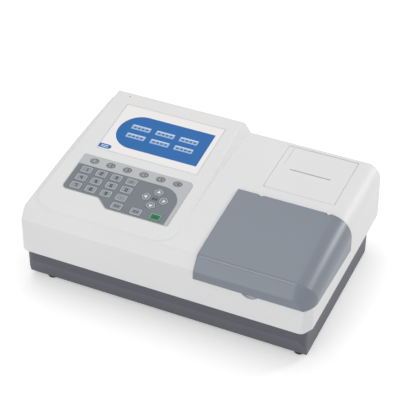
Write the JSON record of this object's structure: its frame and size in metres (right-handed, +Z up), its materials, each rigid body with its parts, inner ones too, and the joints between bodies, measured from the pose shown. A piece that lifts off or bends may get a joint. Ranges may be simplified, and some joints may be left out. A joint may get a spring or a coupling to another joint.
{
  "type": "absorbance microplate reader with console and slip printer",
  "caption": "Bench microplate reader: white body on a grey base, tilted console with display and keypad, hinged grey plate lid, plate carrier on rods, slip printer.",
  "frame": {"origin": "On the surface that the feet stand on, below the middle of the object's outline.", "axes": "+X to the right seen from the front, +Y to the back, +Z up."},
  "size_m": [0.432, 0.285, 0.1554],
  "materials": {
    "shell_white": "fine moulded texture, painted off-white",
    "base_grey": "fine moulded texture, dark grey",
    "foot_rubber": "moulded rubber",
    "panel_steel": "powder coated sheet",
    "black_plastic": "moulded, matt",
    "dark_plastic": "moulded, matt",
    "port_metal": "formed sheet",
    "bright_steel": "zinc plated sheet",
    "board_green": "printed circuit board",
    "window_clear": "clear acrylic",
    "overlay_grey": "printed foil",
    "key_grey": "silicone key with printed outline",
    "key_green": "silicone key with printed outline",
    "lid_grey": "satin moulded, blue-grey",
    "plate_aluminium": "milled",
    "carrier_aluminium": "anodised",
    "rod_steel": "ground and hard chromed",
    "bush_brass": "turned bronze",
    "motor_black": "painted",
    "belt_rubber": "toothed belt",
    "black_metal": "black anodised",
    "filter_glass": "coated interference filters",
    "roller_rubber": "ground rubber"
  },
  "bodies": {
    "case": {"top_shell": "shell_white", "base_tray": "base_grey", "rubber_feet": "foot_rubber", "rear_panel": "panel_steel", "power_inlet": "black_plastic", "data_ports": "port_metal", "fan_frame": "black_plastic", "power_supply": "bright_steel", "main_board": "board_green", "display_window": "window_clear", "display_module": "black_plastic", "keypad_overlay": "overlay_grey", "keypad_board": "board_green", "chamber_liner": "dark_plastic", "chassis_plate": "plate_aluminium", "guide_rods": "rod_steel", "drive_motor": "motor_black", "filter_motor": "motor_black", "drive_belt": "belt_rubber", "lamp_module": "black_metal", "optics_bridge": "black_metal", "detector_board": "black_metal", "printer_frame": "dark_plastic", "case_screws": "rod_steel"},
    "lid": {"plate_lid": "lid_grey"},
    "carrier": {"plate_carrier": "carrier_aluminium", "carrier_bushes": "bush_brass"},
    "drive_wheel": {"drive_pulley": "plate_aluminium"},
    "idler_wheel": {"idler_pulley": "plate_aluminium"},
    "filters": {"filter_wheel": "black_metal", "optical_filters": "filter_glass"},
    "paper_door": {"printer_door": "shell_white"},
    "platen": {"platen_roller": "roller_rubber"},
    "fan": {"fan_rotor": "black_plastic"},
    "switch": {"power_rocker": "black_plastic"},
    "function_key_1_body": {"function_key_1": "key_grey"},
    "function_key_2_body": {"function_key_2": "key_grey"},
    "function_key_3_body": {"function_key_3": "key_grey"},
    "function_key_4_body": {"function_key_4": "key_grey"},
    "function_key_5_body": {"function_key_5": "key_grey"},
    "function_key_6_body": {"function_key_6": "key_grey"},
    "key_1_body": {"key_1": "key_grey"},
    "key_2_body": {"key_2": "key_grey"},
    "key_3_body": {"key_3": "key_grey"},
    "key_clear_body": {"key_clear": "key_grey"},
    "key_4_body": {"key_4": "key_grey"},
    "key_5_body": {"key_5": "key_grey"},
    "key_6_body": {"key_6": "key_grey"},
    "key_0_body": {"key_0": "key_grey"},
    "key_7_body": {"key_7": "key_grey"},
    "key_8_body": {"key_8": "key_grey"},
    "key_9_body": {"key_9": "key_grey"},
    "key_point_body": {"key_point": "key_grey"},
    "key_menu_body": {"key_menu": "key_grey"},
    "key_back_body": {"key_back": "key_grey"},
    "key_start_body": {"key_start": "key_green"},
    "key_up_body": {"key_up": "key_grey"},
    "key_left_body": {"key_left": "key_grey"},
    "key_down_body": {"key_down": "key_grey"},
    "key_right_body": {"key_right": "key_grey"}
  },
  "joints": [
    {"name": "lid_hinge", "type": "hinge", "parent": "case", "child": "lid", "pos_m": [0.133, 0.0103, 0.13581], "axis": [-1, 0, 0], "range_deg": [0, 75]},
    {"name": "paper_door_hinge", "type": "hinge", "parent": "case", "child": "paper_door", "pos_m": [0.1295, 0.13125, 0.13664], "axis": [-1, 0, 0], "range_deg": [0, 80]},
    {"name": "carrier_slide", "type": "slide", "parent": "case", "child": "carrier", "axis": [0, 1, 0], "range_m": [0, 0.131]},
    {"name": "drive_pulley_spin", "type": "hinge", "parent": "case", "child": "drive_wheel", "pos_m": [0.071, 0.082, 0.0675], "axis": [0, 0, 1], "range_deg": [0, 1345.3]},
    {"name": "idler_pulley_spin", "type": "hinge", "parent": "case", "child": "idler_wheel", "pos_m": [0.071, -0.117, 0.0675], "axis": [0, 0, 1], "range_deg": [0, 1345.3]},
    {"name": "filter_wheel_spin", "type": "hinge", "parent": "case", "child": "filters", "pos_m": [0.0415, 0.018, 0.091], "axis": [1, 0, 0], "continuous": true},
    {"name": "platen_spin", "type": "hinge", "parent": "case", "child": "platen", "pos_m": [0.1295, 0.086, 0.122], "axis": [1, 0, 0], "continuous": true},
    {"name": "fan_spin", "type": "hinge", "parent": "case", "child": "fan", "pos_m": [0.09, 0.111, 0.031], "axis": [0, 1, 0], "continuous": true},
    {"name": "power_switch_rock", "type": "hinge", "parent": "case", "child": "switch", "pos_m": [-0.126, 0.116, 0.03], "axis": [-1, 0, 0], "range_deg": [0, 16]},
    {"name": "function_key_1_press", "type": "slide", "parent": "case", "child": "function_key_1_body", "axis": [0, 0.1219, -0.9925], "range_m": [0, 0.0006], "stiffness_N_per_m": 800, "springref_m": -0.0006},
    {"name": "function_key_2_press", "type": "slide", "parent": "case", "child": "function_key_2_body", "axis": [0, 0.1219, -0.9925], "range_m": [0, 0.0006], "stiffness_N_per_m": 800, "springref_m": -0.0006},
    {"name": "function_key_3_press", "type": "slide", "parent": "case", "child": "function_key_3_body", "axis": [0, 0.1219, -0.9925], "range_m": [0, 0.0006], "stiffness_N_per_m": 800, "springref_m": -0.0006},
    {"name": "function_key_4_press", "type": "slide", "parent": "case", "child": "function_key_4_body", "axis": [0, 0.1219, -0.9925], "range_m": [0, 0.0006], "stiffness_N_per_m": 800, "springref_m": -0.0006},
    {"name": "function_key_5_press", "type": "slide", "parent": "case", "child": "function_key_5_body", "axis": [0, 0.1219, -0.9925], "range_m": [0, 0.0006], "stiffness_N_per_m": 800, "springref_m": -0.0006},
    {"name": "function_key_6_press", "type": "slide", "parent": "case", "child": "function_key_6_body", "axis": [0, 0.1219, -0.9925], "range_m": [0, 0.0006], "stiffness_N_per_m": 800, "springref_m": -0.0006},
    {"name": "key_1_press", "type": "slide", "parent": "case", "child": "key_1_body", "axis": [0, 0.1219, -0.9925], "range_m": [0, 0.0006], "stiffness_N_per_m": 800, "springref_m": -0.0006},
    {"name": "key_2_press", "type": "slide", "parent": "case", "child": "key_2_body", "axis": [0, 0.1219, -0.9925], "range_m": [0, 0.0006], "stiffness_N_per_m": 800, "springref_m": -0.0006},
    {"name": "key_3_press", "type": "slide", "parent": "case", "child": "key_3_body", "axis": [0, 0.1219, -0.9925], "range_m": [0, 0.0006], "stiffness_N_per_m": 800, "springref_m": -0.0006},
    {"name": "key_clear_press", "type": "slide", "parent": "case", "child": "key_clear_body", "axis": [0, 0.1219, -0.9925], "range_m": [0, 0.0006], "stiffness_N_per_m": 800, "springref_m": -0.0006},
    {"name": "key_4_press", "type": "slide", "parent": "case", "child": "key_4_body", "axis": [0, 0.1219, -0.9925], "range_m": [0, 0.0006], "stiffness_N_per_m": 800, "springref_m": -0.0006},
    {"name": "key_5_press", "type": "slide", "parent": "case", "child": "key_5_body", "axis": [0, 0.1219, -0.9925], "range_m": [0, 0.0006], "stiffness_N_per_m": 800, "springref_m": -0.0006},
    {"name": "key_6_press", "type": "slide", "parent": "case", "child": "key_6_body", "axis": [0, 0.1219, -0.9925], "range_m": [0, 0.0006], "stiffness_N_per_m": 800, "springref_m": -0.0006},
    {"name": "key_0_press", "type": "slide", "parent": "case", "child": "key_0_body", "axis": [0, 0.1219, -0.9925], "range_m": [0, 0.0006], "stiffness_N_per_m": 800, "springref_m": -0.0006},
    {"name": "key_7_press", "type": "slide", "parent": "case", "child": "key_7_body", "axis": [0, 0.1219, -0.9925], "range_m": [0, 0.0006], "stiffness_N_per_m": 800, "springref_m": -0.0006},
    {"name": "key_8_press", "type": "slide", "parent": "case", "child": "key_8_body", "axis": [0, 0.1219, -0.9925], "range_m": [0, 0.0006], "stiffness_N_per_m": 800, "springref_m": -0.0006},
    {"name": "key_9_press", "type": "slide", "parent": "case", "child": "key_9_body", "axis": [0, 0.1219, -0.9925], "range_m": [0, 0.0006], "stiffness_N_per_m": 800, "springref_m": -0.0006},
    {"name": "key_point_press", "type": "slide", "parent": "case", "child": "key_point_body", "axis": [0, 0.1219, -0.9925], "range_m": [0, 0.0006], "stiffness_N_per_m": 800, "springref_m": -0.0006},
    {"name": "key_menu_press", "type": "slide", "parent": "case", "child": "key_menu_body", "axis": [0, 0.1219, -0.9925], "range_m": [0, 0.0006], "stiffness_N_per_m": 800, "springref_m": -0.0006},
    {"name": "key_back_press", "type": "slide", "parent": "case", "child": "key_back_body", "axis": [0, 0.1219, -0.9925], "range_m": [0, 0.0006], "stiffness_N_per_m": 800, "springref_m": -0.0006},
    {"name": "key_start_press", "type": "slide", "parent": "case", "child": "key_start_body", "axis": [0, 0.1219, -0.9925], "range_m": [0, 0.0006], "stiffness_N_per_m": 800, "springref_m": -0.0006},
    {"name": "key_up_press", "type": "slide", "parent": "case", "child": "key_up_body", "axis": [0, 0.1219, -0.9925], "range_m": [0, 0.0006], "stiffness_N_per_m": 800, "springref_m": -0.0006},
    {"name": "key_left_press", "type": "slide", "parent": "case", "child": "key_left_body", "axis": [0, 0.1219, -0.9925], "range_m": [0, 0.0006], "stiffness_N_per_m": 800, "springref_m": -0.0006},
    {"name": "key_down_press", "type": "slide", "parent": "case", "child": "key_down_body", "axis": [0, 0.1219, -0.9925], "range_m": [0, 0.0006], "stiffness_N_per_m": 800, "springref_m": -0.0006},
    {"name": "key_right_press", "type": "slide", "parent": "case", "child": "key_right_body", "axis": [0, 0.1219, -0.9925], "range_m": [0, 0.0006], "stiffness_N_per_m": 800, "springref_m": -0.0006}
  ],
  "couplings": [
    {"joint": "drive_pulley_spin", "follows": "carrier_slide", "rad_per_m": 178.57},
    {"joint": "idler_pulley_spin", "follows": "carrier_slide", "rad_per_m": 178.57}
  ]
}
